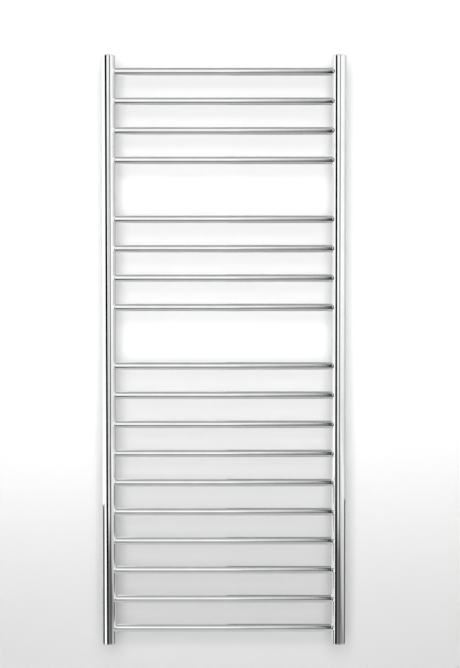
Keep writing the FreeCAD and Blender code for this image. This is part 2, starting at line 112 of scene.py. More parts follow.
class Nodes:
    """The node tree of a material or of the world, with short calls for what is built often."""

    def __init__(self, owner: bpy.types.Material | bpy.types.World) -> None:
        """Start with an empty tree."""
        owner.use_nodes = True
        self.tree = owner.node_tree
        self.tree.nodes.clear()

    def put(self, value: Input, target: Socket) -> None:
        """Link an output to an input, or set the input to a constant."""
        if isinstance(value, Socket):
            self.tree.links.new(value, target)
        else:
            target.default_value = value

    def feed(self, node: bpy.types.Node, **inputs: Input) -> None:
        """Link or set inputs of a node, by their names with underscores for spaces."""
        for name, value in inputs.items():
            self.put(value, node.inputs[name.replace("_", " ")])

    def add(self, kind: str, **inputs: Input) -> bpy.types.Node:
        """Add a node of a kind, and link or set its inputs."""
        node = self.tree.nodes.new(kind)
        self.feed(node, **inputs)
        return node

    def axes(self, kind: str) -> dict[str, Socket]:
        """X, Y and Z of one kind of texture coordinate."""
        place = self.add("ShaderNodeTexCoord").outputs[kind]
        outputs = self.add("ShaderNodeSeparateXYZ", Vector=place).outputs
        return {axis: outputs[axis] for axis in "XYZ"}

    def remap(self, source: Socket, ends: Range, results: Range = (0.0, 1.0),
              easing: str = "LINEAR") -> Socket:
        """Map one range of a value onto another, and hold it there beyond the ends.

        Args:
            source: the value.
            ends: the range that it comes from.
            results: the range that it goes to.
            easing: how it runs between the ends.

        Returns:
            The mapped value.
        """
        node = self.add(
            "ShaderNodeMapRange", Value=source, From_Min=ends[0], From_Max=ends[1],
            To_Min=results[0], To_Max=results[1],
        )
        node.interpolation_type = easing
        return node.outputs["Result"]

    def colours(self, source: Socket, stops: list[tuple[float, Triple]]) -> Socket:
        """Run through colours with a value from 0 to 1.

        Args:
            source: the value.
            stops: place and colour of each stop, in rising order.

        Returns:
            The colour.
        """
        ramp = self.add("ShaderNodeValToRGB", Fac=source)
        elements = ramp.color_ramp.elements
        while len(elements) < len(stops):
            elements.new(0.5)
        for element, (place, colour) in zip(elements, stops):
            element.position = place
            element.color = (*colour, 1.0)
        return ramp.outputs["Color"]

    def curve(self, source: Socket, ends: Range, stops: Stops) -> Socket:
        """Run through shades of grey with a value.

        Args:
            source: the value.
            ends: the values where the curve starts and stops.
            stops: value and grey of each stop, in order from the start.

        Returns:
            The grey.
        """
        start, stop = ends
        greys = [((value - start) / (stop - start), (grey,) * 3) for value, grey in stops]
        return self.colours(self.remap(source, ends), greys)

    def compute(self, operation: str, *values: Input) -> Socket:
        """The result of an arithmetic operation on one or two values."""
        node = self.add("ShaderNodeMath")
        node.operation = operation
        for value, target in zip(values, node.inputs):
            self.put(value, target)
        return node.outputs["Value"]

    def mix(self, factor: Socket, first: Socket, second: Socket) -> Socket:
        """A value between two others."""
        node = self.add("ShaderNodeMix")
        node.data_type = "FLOAT"
        self.feed(node, Factor=factor, A=first, B=second)
        return node.outputs["Result"]

    def blend(self, factor: Socket, first: Socket, second: Socket) -> Socket:
        """A shader between two others."""
        node = self.add("ShaderNodeMixShader", Fac=factor)
        self.put(first, node.inputs[1])
        self.put(second, node.inputs[2])
        return node.outputs["Shader"]

    def shine(self, strength: Socket) -> None:
        """End the tree of a material in a light of its own."""
        emission = self.add("ShaderNodeEmission", Strength=strength)
        self.add("ShaderNodeOutputMaterial", Surface=emission.outputs["Emission"])

    def sky(self, strength: Input) -> Socket:
        """A light from all round, for the world's tree."""
        return self.add("ShaderNodeBackground", Strength=strength).outputs["Background"]


class Paint(Nodes):
    """The node tree of one finish: a shader, and patterns in the object's own space."""

    def __init__(self, name: str) -> None:
        """Start the material with its shader and its output."""
        self.material = bpy.data.materials.new(name)
        super().__init__(self.material)
        self.shader = self.add("ShaderNodeBsdfPrincipled")
        self.output = self.add("ShaderNodeOutputMaterial", Surface=self.shader.outputs["BSDF"])
        self.place = self.add("ShaderNodeTexCoord").outputs["Object"]

    def noise(self, repeat: Triple, scale: float, detail: float) -> Socket:
        """A noise pattern stretched along the lines of a finish.

        Args:
            repeat: how densely the pattern repeats along X, Y and Z.
            scale: a factor on all three.
            detail: octaves of the noise.

        Returns:
            The pattern, from 0 to 1.
        """
        mapping = self.add("ShaderNodeMapping", Vector=self.place, Scale=repeat)
        stretched = mapping.outputs["Vector"]
        pattern = self.add("ShaderNodeTexNoise", Vector=stretched, Scale=scale, Detail=detail)
        return pattern.outputs["Fac"]

    def spread(self, source: Socket, low: float, high: float) -> Socket:
        """Map the useful middle of a noise pattern onto a range."""
        return self.remap(source, PATTERN_MIDDLE, (low, high))

    def tints(self, source: Socket, dark: Triple, light: Triple) -> Socket:
        """Run between two colours with the useful middle of a noise pattern."""
        return self.colours(source, list(zip(PATTERN_MIDDLE, (dark, light))))

    def bump(self, source: Socket, strength: float, height: float) -> None:
        """Raise the surface by a pattern.

        Args:
            source: the pattern.
            strength: how much of the bump is used.
            height: the real height between low and high, in metres.
        """
        bump = self.add("ShaderNodeBump", Strength=strength, Distance=height, Height=source)
        self.feed(self.shader, Normal=bump.outputs["Normal"])


@dataclass(frozen=True)
class Metal:
    """A metal finish: fine lines in one direction, a cloudy haze and a slight change of tone."""

    name: str
    dark: Triple
    light: Triple
    grain: Grain
    smooth: float
    rough: float
    haze: float
    line_height: float
    line_detail: float = 3.0
    line_strength: float = 0.35
    cloud_scale: float = 0.14
    cloud_detail: float = 4.0

    def material(self) -> bpy.types.Material:
        """Build the finish."""
        paint = Paint(self.name)
        lines = paint.noise(self.grain.value, 1.0, self.line_detail)
        cloud = paint.noise(Grain.CLOUDY.value, self.cloud_scale, self.cloud_detail)
        smudge = paint.spread(cloud, 0.0, self.haze)
        wear = paint.spread(lines, self.smooth, self.rough)
        colour = paint.tints(cloud, self.dark, self.light)
        roughness = paint.compute("ADD", wear, smudge)
        paint.feed(paint.shader, Base_Color=colour, Roughness=roughness, Metallic=1.0)
        paint.bump(lines, self.line_strength, self.line_height)
        return paint.material


@dataclass(frozen=True)
class Moulded:
    """A moulded or fired finish: a speckled body with a fine skin."""

    name: str
    dark: Triple
    light: Triple
    smooth: float
    rough: float
    speckle: float
    skin_height: float
    body_scale: float = 0.9
    body_detail: float = 3.0
    skin_detail: float = 5.0
    skin_strength: float = 0.6

    def material(self) -> bpy.types.Material:
        """Build the finish."""
        paint = Paint(self.name)
        body = paint.noise(Grain.CLOUDY.value, self.body_scale, self.body_detail)
        skin = paint.noise(Grain.CLOUDY.value, self.speckle, self.skin_detail)
        colour = paint.tints(body, self.dark, self.light)
        roughness = paint.spread(skin, self.smooth, self.rough)
        paint.feed(paint.shader, Base_Color=colour, Roughness=roughness)
        paint.bump(skin, self.skin_strength, self.skin_height)
        return paint.material


RAIL_POLISH = Metal(
    "polished_rail_tube", (0.86, 0.87, 0.875), (0.915, 0.92, 0.925),
    Grain.ALONG_RAILS, 0.035, 0.06, 0.03, 0.6e-6,
)
UPRIGHT_POLISH = Metal(
    "polished_upright_tube", (0.86, 0.87, 0.875), (0.915, 0.92, 0.925),
    Grain.ALONG_UPRIGHTS, 0.03, 0.05, 0.025, 0.5e-6,
)
CAP_POLISH = Metal(
    "polished_end_cap", (0.85, 0.86, 0.865), (0.91, 0.915, 0.92),
    Grain.ROUND_UPRIGHTS, 0.04, 0.075, 0.03, 0.6e-6,
)
WELD_POLISH = Metal(
    "dressed_weld", (0.84, 0.85, 0.855), (0.91, 0.915, 0.92),
    Grain.CLOUDY, 0.05, 0.10, 0.03, 8.0e-6,
)
LEG_POLISH = Metal(
    "polished_leg", (0.85, 0.86, 0.865), (0.91, 0.915, 0.92),
    Grain.ROUND_LEGS, 0.045, 0.08, 0.03, 0.8e-6,
)
SPIGOT_TURNING = Metal(
    "turned_spigot_steel", (0.56, 0.56, 0.565), (0.68, 0.68, 0.685),
    Grain.ROUND_LEGS, 0.20, 0.34, 0.05, 4.0e-6,
)
SCREW_STEEL = Metal(
    "screw_steel", (0.36, 0.36, 0.365), (0.52, 0.52, 0.525),
    Grain.CLOUDY, 0.25, 0.38, 0.05, 5.0e-6,
)
CUTOUT_ALUMINIUM = Metal(
    "drawn_aluminium_case", (0.70, 0.71, 0.72), (0.80, 0.81, 0.82),
    Grain.ALONG_UPRIGHTS, 0.24, 0.38, 0.06, 2.0e-6,
)
TIN_PLATE = Metal(
    "tin_plate", (0.60, 0.59, 0.56), (0.74, 0.73, 0.70),
    Grain.CLOUDY, 0.30, 0.45, 0.08, 3.0e-6,
)
GROMMET_RUBBER = Moulded(
    "grommet_rubber", (0.016, 0.016, 0.017), (0.034, 0.034, 0.036), 0.52, 0.72, 14.0, 1.2e-5,
)
SHEATH_SILICONE = Moulded(
    "silicone_sheath", (0.24, 0.045, 0.03), (0.33, 0.07, 0.045), 0.45, 0.62, 9.0, 1.0e-5,
)
SEAL_NYLON = Moulded(
    "seal_nylon", (0.045, 0.046, 0.05), (0.075, 0.077, 0.082), 0.34, 0.50, 12.0, 0.8e-5,
)
BLOCK_CERAMIC = Moulded(
    "steatite_block", (0.68, 0.65, 0.58), (0.80, 0.78, 0.72), 0.50, 0.74, 22.0, 1.6e-5,
)


# --------------------------------------------------------------------------- mesh tools


def placed(name: str, data: bpy.types.ID) -> bpy.types.Object:
    """A new object in the scene."""
    thing = bpy.data.objects.new(name, data)
    bpy.context.scene.collection.objects.link(thing)
    return thing


def solid(name: str, mesh: bmesh.types.BMesh) -> bpy.types.Object:
    """A new object in the scene of a finished mesh, which is used up."""
    data = bpy.data.meshes.new(name)
    mesh.to_mesh(data)
    mesh.free()
    return placed(name, data)


def turned(
    outline: Outline, closed: bool, rounds: Rounds | None = None, steps: int = RING
) -> bmesh.types.BMesh:
    """Spin an outline about the Z axis and round some of its corners.

    Args:
        outline: (radius, height) of each corner, in metres.
        closed: whether the last corner joins the first; if not, both stand on the axis or
            the shape stays open between them.
        rounds: corner's number to the radius and the segments of its rounding.
        steps: steps of the full turn.

    Returns:
        The turned mesh.
    """
    mesh = bmesh.new()
    corners = [mesh.verts.new((radius, 0.0, height)) for radius, height in outline]
    following = corners[1:] + corners[:1] if closed else corners[1:]
    sides = [mesh.edges.new(pair) for pair in zip(corners, following)]
    bmesh.ops.spin(
        mesh, geom=corners + sides, cent=(0, 0, 0), axis=(0, 0, 1), dvec=(0, 0, 0),
        angle=2 * math.pi, steps=steps, use_merge=True, use_normal_flip=False,
        use_duplicate=False,
    )
    bmesh.ops.remove_doubles(mesh, verts=mesh.verts, dist=MERGE_DISTANCE)
    bmesh.ops.recalc_face_normals(mesh, faces=mesh.faces)
    for number, (radius, segments) in (rounds or {}).items():
        bmesh.ops.bevel(
            mesh, geom=ring_edges(mesh, *outline[number]), offset=radius,
            offset_type="OFFSET", segments=segments, profile=0.5, affect="EDGES",
            material=-1, clamp_overlap=True,
        )
    return mesh


def ring_edges(mesh: bmesh.types.BMesh, radius: float, height: float) -> list[bmesh.types.BMEdge]:
    """The edges of the ring at a radius and height about the Z axis."""
    return [
        edge for edge in mesh.edges
        if all(
            abs(math.hypot(vert.co.x, vert.co.y) - radius) < NEAR
            and abs(vert.co.z - height) < NEAR
            for vert in edge.verts
        )
    ]


def cope(mesh: bmesh.types.BMesh, height: float, upright_radius: float) -> None:
    """Seat the ring at a height on an upright that stands across the leg's own X axis.

    Args:
        mesh: a leg turned about Z, whose upright's axis is the line Z = 0 along Y.
        height: the height of the ring, and of its pole if it has one.
        upright_radius: outside of the upright.
    """
    for vert in mesh.verts:
        if abs(vert.co.z - height) < NEAR:
            vert.co.z = math.sqrt(max(upright_radius**2 - vert.co.x**2, 0.0))


def drilled(mesh: bmesh.types.BMesh, drills: list[Matrix]) -> bmesh.types.BMesh:
    """Cut round holes out of a mesh.

    Args:
        mesh: the mesh, which is used up.
        drills: for each hole, the matrix that puts a unit cylinder, radius 1 from Z = 0 to 1,
            in its place.

    Returns:
        The drilled mesh.
    """
    cutter = bmesh.new()
    for matrix in drills:
        bmesh.ops.create_cone(
            cutter, cap_ends=True, segments=RING, radius1=1.0, radius2=1.0, depth=1.0,
            matrix=matrix @ Matrix.Translation((0, 0, 0.5)),
        )
    blank, drill = solid("blank", mesh), solid("drill", cutter)
    cut = blank.modifiers.new("holes", "BOOLEAN")
    cut.operation = "DIFFERENCE"
    cut.solver = "EXACT"
    cut.object = drill
    graph = bpy.context.evaluated_depsgraph_get()
    data = bpy.data.meshes.new_from_object(blank.evaluated_get(graph))
    result = bmesh.new()
    result.from_mesh(data)
    for used in (blank.data, drill.data, data):
        bpy.data.meshes.remove(used)
    return result


def move(mesh: bmesh.types.BMesh, matrix: Matrix) -> None:
    """Turn and move a whole mesh."""
    bmesh.ops.transform(mesh, matrix=matrix, verts=mesh.verts)


def spot(x: float, y: float, z: float) -> Matrix:
    """A move to a point."""
    return Matrix.Translation((x, y, z))


def quarter(turns: int, axis: str) -> Matrix:
    """Quarter turns about an axis."""
    return Matrix.Rotation(turns * math.pi / 2, 4, axis)


def middle(node: str) -> Triple:
    """The middle of a CAD node's box."""
    low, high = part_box(node)
    return (low.x + high.x) / 2, (low.y + high.y) / 2, (low.z + high.z) / 2


@dataclass(frozen=True)
class Role:
    """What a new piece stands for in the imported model."""

    body: str
    slot: str
    replaces: tuple[str, ...]


def make_piece(
    mesh: bmesh.types.BMesh, name: str, material: bpy.types.Material, role: Role
) -> bpy.types.Object:
    """Turn a finished mesh into a piece of the rack.

    Args:
        mesh: the mesh in its place, which is used up.
        name: the piece's name.
        material: its finish.
        role: its body and the CAD nodes that it replaces.

    Returns:
        The piece's object.
    """
    bmesh.ops.recalc_face_normals(mesh, faces=mesh.faces)
    for face in mesh.faces:
        face.smooth = True
    for edge in mesh.edges:
        if len(edge.link_faces) == 2 and edge.calc_face_angle(0.0) > SHARP_ANGLE:
            edge.smooth = False
    piece = solid(name, mesh)
    piece.data.materials.append(material)
    weigh = piece.modifiers.new("flat_faces_first", "WEIGHTED_NORMAL")
    weigh.keep_sharp = True
    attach(piece, role.body)
    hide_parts(*role.replaces)
    LOG.info("%s: %d faces", name, len(piece.data.polygons))
    return piece


# --------------------------------------------------------------------------- the rack


@dataclass
class Ladder:
    """The sizes that the uprights, rails and legs share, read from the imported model."""

    upright_x: float = field(init=False)
    tube_y: float = field(init=False)
    upright_radius: float = field(init=False)
    rail_radius: float = field(init=False)
    rail_heights: list[float] = field(init=False)
    rail_ends: Range = field(init=False)

    def __post_init__(self) -> None:
        """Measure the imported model."""
        self.upright_x, self.tube_y, _ = middle("upright_right")
        low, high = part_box("upright_right")
        self.upright_radius = (high.y - low.y) / 2
        names = sorted(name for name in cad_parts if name.startswith("rail_"))
        self.rail_heights = [middle(name)[2] for name in names]
        low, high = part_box(names[0])
        self.rail_radius = (high.y - low.y) / 2
        self.rail_ends = (low.x, high.x)


@dataclass
class Rails:
    """The eighteen rails: plain tube, each with its ends inside the uprights."""

    ladder: Ladder
    wall: float = 1.0 * MM
    edge: float = 0.15 * MM

    def build(self) -> None:
        """Make every rail."""
        finish = RAIL_POLISH.material()
        for number, height in enumerate(self.ladder.rail_heights, start=1):
            node = f"rail_{number:02d}"
            mesh = self.tube()
            move(mesh, spot(0, self.ladder.tube_y, height) @ quarter(1, "Y"))
            make_piece(mesh, f"{node}_tube", finish, Role(RACK, "polished_rail", (node,)))

    def tube(self) -> bmesh.types.BMesh:
        """One rail along Z."""
        outer, inner = self.ladder.rail_radius, self.ladder.rail_radius - self.wall
        start, stop = self.ladder.rail_ends
        edge = self.edge
        outline = [
            (inner, start), (outer - edge, start), (outer, start + edge),
            (outer, stop - edge), (outer - edge, stop), (inner, stop),
        ]
        return turned(outline, True)


@dataclass
class Upright:
    """One upright: its tube, the caps on its ends and the dressed welds on it."""

    ladder: Ladder
    side: Side
    wall: float = 1.5 * MM
    edge: float = 0.2 * MM
    hole_clearance: float = 0.05 * MM
    hole_margin: float = 3.5 * MM
    cap_thickness: float = 3.0 * MM
    cap_rounding: float = 1.49 * MM
    cap_rounding_steps: int = 8
    cap_spigot_length: float = 5.0 * MM
    cap_spigot_wall: float = 2.0 * MM
    cap_clearance: float = 0.05 * MM
    weld_leg: float = 2.5 * MM
    weld_steps: int = 8
    weld_overlap: float = 0.25 * MM
    weld_lip: float = 0.03 * MM
    leg_radius: float = 8.0 * MM
    outlet_radius: float = 6.0 * MM
    outlet_bore: float = 5.0 * MM

    @property
    def node(self) -> str:
        """The CAD node of the tube."""
        return f"upright_{self.side.label}"

    @property
    def x(self) -> float:
        """Where the upright's axis stands along X."""
        return self.side.value * self.ladder.upright_x

    def build(self) -> None:
        """Make the tube, its caps and its welds."""
        self.build_tube()
        finish = CAP_POLISH.material()
        for end in End:
            self.build_cap(end, finish)
        self.build_welds()

    def leg_heights(self) -> list[float]:
        """Heights of the two stand-offs."""
        return [middle(f"standoff_{end.label}_{self.side.label}")[2] for end in End]

    def outlet_height(self) -> float:
        """Height of the cable outlet."""
        return middle("cable_outlet")[2]

    def build_tube(self) -> None:
        """The tube, with a hole for each rail and, on the left, one for the cable."""
        low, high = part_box(self.node)
        outer = self.ladder.upright_radius
        inner = outer - self.wall
        reach = self.ladder.rail_radius + self.hole_margin
        rings = []
        for height in sorted(self.ladder.rail_heights):
            rings += [height - reach, height + reach]
        outline = [(inner, low.z), (outer - self.edge, low.z), (outer, low.z + self.edge)]
        outline += [(outer, height) for height in rings]
        outline += [(outer, high.z - self.edge), (outer - self.edge, high.z), (inner, high.z)]
        outline += [(inner, height) for height in reversed(rings)]
        mesh = turned(outline, True)
        move(mesh, spot(self.x, self.ladder.tube_y, 0))
        finish = UPRIGHT_POLISH.material()
        role = Role(RACK, "polished_upright", (self.node,))
        make_piece(drilled(mesh, self.drills()), f"{self.node}_tube", finish, role)

    def drills(self) -> list[Matrix]:
        """Where the tube is drilled: a hole for each rail, and the cable's way out."""
        radius = self.ladder.rail_radius + self.hole_clearance
        depth = 2 * self.ladder.upright_radius
        size = Matrix.Diagonal((radius, radius, depth, 1))
        inward = quarter(-self.side.value, "Y")
        holes = [
            spot(self.x, self.ladder.tube_y, height) @ inward @ size
            for height in self.ladder.rail_heights
        ]
        if self.side is Side.LEFT:
            size = Matrix.Diagonal((self.outlet_bore, self.outlet_bore, depth, 1))
            place = spot(self.x, self.ladder.tube_y, self.outlet_height())
            holes.append(place @ quarter(-1, "X") @ size)
        return holes

    def build_cap(self, end: End, finish: bpy.types.Material) -> None:
        """A cap with a rounded rim, its spigot inside the tube.

        Args:
            end: which end of the upright.
            finish: the caps' finish.
        """
        low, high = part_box(self.node)
        height = high.z if end is End.TOP else low.z
        outer = self.ladder.upright_radius
        spigot = outer - self.wall - self.cap_clearance
        inside = spigot - self.cap_spigot_wall
        outline = [
            (0, 0), (inside, 0), (inside, -self.cap_spigot_length),
            (spigot, -self.cap_spigot_length), (spigot, 0), (outer - self.edge, 0),
            (outer, self.edge), (outer, self.cap_thickness), (0, self.cap_thickness),
        ]
        mesh = turned(outline, False, {7: (self.cap_rounding, self.cap_rounding_steps)})
        turn = Matrix.Identity(4) if end is End.TOP else quarter(2, "X")
        move(mesh, spot(self.x, self.ladder.tube_y, height) @ turn)
        node = f"end_cap_{end.label}_{self.side.label}"
        make_piece(mesh, f"{node}_disc", finish, Role(RACK, "polished_cap", (node,)))

    def build_welds(self) -> None:
        """All the upright's welds as one piece: its rails', its legs' and the outlet's."""
        welds = bmesh.new()
        inward = Matrix.Identity(4) if self.side is Side.LEFT else quarter(2, "Z")
        spots = [(self.ladder.rail_radius, inward, z) for z in self.ladder.rail_heights]
        spots += [(self.leg_radius, quarter(1, "Z"), z) for z in self.leg_heights()]
        if self.side is Side.LEFT:
            spots.append((self.outlet_radius, quarter(1, "Z"), self.outlet_height()))
        for radius, turn, height in spots:
            self.add_bead(welds, radius, spot(self.x, self.ladder.tube_y, height) @ turn)
        node = f"weld_beads_{self.side.label}"
        role = Role(RACK, "polished_weld", (node,))
        make_piece(welds, f"{node}_dressed", WELD_POLISH.material(), role)

    def add_bead(self, mesh: bmesh.types.BMesh, radius: float, place: Matrix) -> None:
        """Add the hollow fillet round a tube that stands on the upright.

        Args:
            mesh: the welds so far.
            radius: outside of the tube.
            place: the matrix from a tube along +X on an upright at the origin.
        """
        leg = self.weld_leg
        section = []
        for step in range(self.weld_steps + 1):
            angle = step / self.weld_steps * math.pi / 2
            section.append((leg * (1 - math.cos(angle)) + self.weld_lip,
                            leg * (1 - math.sin(angle)) + self.weld_lip))
        section += [(leg, -self.weld_overlap), (-self.weld_overlap, -self.weld_overlap),
                    (-self.weld_overlap, leg)]
        rings = []
        for out, up in section:
            made = bmesh.ops.create_circle(
                mesh, cap_ends=False, radius=radius + out, segments=RING,
                matrix=quarter(1, "Y"),
            )
            for vert in made["verts"]:
                seat = math.sqrt(self.ladder.upright_radius**2 - vert.co.y**2)
                vert.co.x = seat + up
            rings.append(made["verts"])
        for first, second in zip(rings, rings[1:] + rings[:1]):
            loops = [edge for ring in (first, second) for edge in loop_edges(ring)]
            bmesh.ops.bridge_loops(mesh, edges=loops)
        verts = [vert for ring in rings for vert in ring]
        bmesh.ops.transform(mesh, matrix=place, verts=verts)


def loop_edges(ring: list[bmesh.types.BMVert]) -> list[bmesh.types.BMEdge]:
    """The edges between the vertices of one ring."""
    members = set(ring)
    found = {edge for vert in ring for edge in vert.link_edges}
    return sorted(
        (edge for edge in found if set(edge.verts) <= members),
        key=lambda edge: min(ring.index(vert) for vert in edge.verts),
    )


@dataclass
class Standoff:
    """One telescopic stand-off: the leg on the upright, its wall spigot and its grub screw."""

    ladder: Ladder
    side: Side
    end: End
    leg_radius: float = 8.0 * MM
    leg_chamfer: float = 0.6 * MM
    bore_radius: float = 5.55 * MM
    bore_depth: float = 36.0 * MM
    hole_margin: float = 1.2 * MM
    spigot_radius: float = 5.5 * MM
    spigot_length: float = 50.0 * MM
    spigot_bore: float = 4.2 * MM
    spigot_base: float = 5.0 * MM
    spigot_hole: float = 2.3 * MM
    spigot_chamfer: float = 0.6 * MM
    spigot_rounding: float = 0.15 * MM
    spigot_rounding_steps: int = 2
    screw_radius: float = 2.0 * MM
    screw_chamfer: float = 0.5 * MM
    screw_clearance: float = 0.05 * MM
    socket_flats: float = 2.0 * MM
    socket_depth: float = 2.2 * MM
    thread_pitch: float = 0.7 * MM
    thread_depth: float = 0.2 * MM
    thread_crest: float = 0.105 * MM

    @property
    def place_name(self) -> str:
        """The words for its corner of the rack."""
        return f"{self.end.label}_{self.side.label}"

    def build(self, leg: bpy.types.Material, spigot: bpy.types.Material,
              screw: bpy.types.Material) -> None:
        """Make the three pieces.

        Args:
            leg: the leg's finish.
            spigot: the wall spigot's finish.
            screw: the grub screw's finish.
        """
        self.build_leg(leg)
        self.build_spigot(spigot)
        self.build_screw(screw)

    def build_leg(self, finish: bpy.types.Material) -> None:
        """The leg, seated on the upright, bored from the wall's side and drilled from below."""
        node = f"standoff_{self.place_name}"
        x, _, z = middle(node)
        _, screw_y, _ = middle(f"grub_screw_{self.place_name}")
        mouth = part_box(node)[1].y - self.ladder.tube_y
        hole_at = screw_y - self.ladder.tube_y
        reach = self.screw_radius + self.hole_margin
        seat = self.ladder.upright_radius
        edge = self.leg_chamfer
        outline = [
            (0, seat), (self.leg_radius, seat), (self.leg_radius, hole_at - reach),
            (self.leg_radius, hole_at + reach), (self.leg_radius, mouth - edge),
            (self.leg_radius - edge, mouth), (self.bore_radius + edge, mouth),
            (self.bore_radius, mouth - edge), (self.bore_radius, hole_at + reach),
            (self.bore_radius, hole_at - reach), (self.bore_radius, mouth - self.bore_depth),
            (0, mouth - self.bore_depth),
        ]
        mesh = turned(outline, False)
        cope(mesh, seat, self.ladder.upright_radius)
        move(mesh, spot(x, self.ladder.tube_y, z) @ quarter(-1, "X"))
        radius = self.screw_radius + self.screw_clearance
        size = Matrix.Diagonal((radius, radius, 2 * self.leg_radius, 1))
        drill = spot(x, screw_y, z) @ quarter(2, "X") @ size
        mesh = drilled(mesh, [drill])
        make_piece(mesh, f"{node}_leg", finish, Role(RACK, "polished_standoff", (node,)))

    def build_spigot(self, finish: bpy.types.Material) -> None:
        """The deep cup on the wall, with a countersunk hole in its bottom."""
        node = f"wall_spigot_{self.place_name}"
        x, _, z = middle(node)
        length, bore, hole = self.spigot_length, self.spigot_bore, self.spigot_hole
        outline = [
            (hole, 0), (self.spigot_radius, 0),
            (self.spigot_radius, length - self.spigot_chamfer),
            (self.spigot_radius - self.spigot_chamfer, length), (bore, length),
            (bore, self.spigot_base), (hole, self.spigot_base - (bore - hole)),
        ]
        mesh = turned(outline, True, {4: (self.spigot_rounding, self.spigot_rounding_steps)})
        move(mesh, spot(x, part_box(node)[1].y, z) @ quarter(1, "X"))
        role = Role(WALL_MOUNTS, "turned_steel", (node,))
        make_piece(mesh, f"{node}_cup", finish, role)

    def build_screw(self, finish: bpy.types.Material) -> None:
        """The grub screw: a threaded stub with a hexagon socket in its lower end."""
        node = f"grub_screw_{self.place_name}"
        low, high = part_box(node)
        length = high.z - low.z
        mesh = turned(self.thread_outline(length), False, steps=FINE_RING)
        mouth = ring_edges(mesh, self.screw_radius - self.screw_chamfer, 0.0)
        corner = self.socket_flats / math.sqrt(3)
        made = bmesh.ops.create_circle(mesh, cap_ends=False, radius=corner, segments=6)
        sides = loop_edges(made["verts"])
        cuts = FINE_RING // 6 - 1
        split = bmesh.ops.subdivide_edges(mesh, edges=sides, cuts=cuts)
        rim = [item for item in split["geom_split"] if isinstance(item, bmesh.types.BMEdge)]
        bmesh.ops.bridge_loops(mesh, edges=mouth + rim)
        drawn = bmesh.ops.extrude_edge_only(mesh, edges=rim)["geom"]
        deep = [item for item in drawn if isinstance(item, bmesh.types.BMVert)]
        bmesh.ops.translate(mesh, verts=deep, vec=(0, 0, self.socket_depth))
        floor_edges = [item for item in drawn if isinstance(item, bmesh.types.BMEdge)
                       and all(vert in deep for vert in item.verts)]
        floor = bmesh.ops.edgeloop_fill(mesh, edges=floor_edges)["faces"]
        bmesh.ops.poke(mesh, faces=floor)
        x, y, _ = middle(node)
        move(mesh, spot(x, y, low.z))
        role = Role(f"grub_{self.place_name}", "screw_steel", (node,))
        make_piece(mesh, f"{node}_stub", finish, role)

    def thread_outline(self, length: float) -> Outline:
        """The screw's side from its lower rim, over the thread, to the middle of its top."""
        rim = self.screw_radius - self.screw_chamfer
        outline = [(rim, 0.0), (self.screw_radius, self.screw_chamfer)]
        pitch = self.thread_pitch
        for turn in range(int((length - 2 * self.screw_chamfer) / pitch)):
            base = self.screw_chamfer + turn * pitch
            outline += [
                (self.screw_radius, base + self.thread_crest),
                (self.screw_radius - self.thread_depth, base + pitch / 2),
                (self.screw_radius, base + pitch - self.thread_crest),
            ]
        outline += [(self.screw_radius, length - self.screw_chamfer), (rim, length), (0, length)]
        return outline


@dataclass
class CableExit:
    """The hollow leg that the supply cable leaves through, and the bush in its mouth.

    The bush's rounds go from a corner of its outline to a radius and a number of segments.
    """

    ladder: Ladder
    outer: float = 6.0 * MM
    inner: float = 5.0 * MM
    edge: float = 0.25 * MM
    bush_body: float = 4.95 * MM
    bush_bore: float = 3.6 * MM
    bush_flange: float = 1.5 * MM
    bush_rounds: Rounds = field(default_factory=lambda: {
        4: (0.6 * MM, 5), 5: (0.5 * MM, 5), 1: (0.4 * MM, 3), 3: (0.2 * MM, 2),
    })

    def build(self) -> None:
        """Make both pieces."""
        self.build_outlet()
        self.build_bush()

    def build_outlet(self) -> None:
        """The hollow leg, seated on the left upright."""
        x, _, z = middle("cable_outlet")
        seat = self.ladder.upright_radius
        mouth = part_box("cable_outlet")[1].y - self.ladder.tube_y
        outline = [
            (self.inner, seat), (self.outer, seat), (self.outer, mouth - self.edge),
            (self.outer - self.edge, mouth), (self.inner + self.edge, mouth),
            (self.inner, mouth - self.edge),
        ]
        mesh = turned(outline, True)
        cope(mesh, seat, self.ladder.upright_radius)
        move(mesh, spot(x, self.ladder.tube_y, z) @ quarter(-1, "X"))
        role = Role(RACK, "polished_standoff", ("cable_outlet",))
        make_piece(mesh, "cable_outlet_leg", LEG_POLISH.material(), role)

    def build_bush(self) -> None:
        """The flanged rubber bush, its rims rounded as moulded."""
        x, _, z = middle("cable_grommet")
        low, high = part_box("cable_grommet")
        length = high.y - low.y
        flange = length - self.bush_flange
        outline = [
            (self.bush_bore, 0), (self.bush_body, 0), (self.bush_body, flange),
            (self.outer, flange), (self.outer, length), (self.bush_bore, length),
        ]
        mesh = turned(outline, True, self.bush_rounds)
        move(mesh, spot(x, low.y, z) @ quarter(-1, "X"))
        role = Role(RACK, "black_rubber", ("cable_grommet",))
        make_piece(mesh, "cable_grommet_bush", GROMMET_RUBBER.material(), role)


@dataclass
class HeatingCircuit:
    """The electric parts inside the tubes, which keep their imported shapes."""

    finishes: dict[str, Metal | Moulded] = field(default_factory=lambda: {
        "heating_cable": SHEATH_SILICONE,
        "cable_end_seal": SEAL_NYLON,
        "terminal_block": BLOCK_CERAMIC,
        "thermal_cutout": CUTOUT_ALUMINIUM,
        "earth_tab": TIN_PLATE,
    })

    def build(self) -> None:
        """Give each part its finish."""
        for node, finish in self.finishes.items():
            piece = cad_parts[node]
            piece.data.materials.clear()
            piece.data.materials.append(finish.material())
            LOG.info("%s: packed shape, finish %s", node, finish.name)


# --------------------------------------------------------------------------- the studio


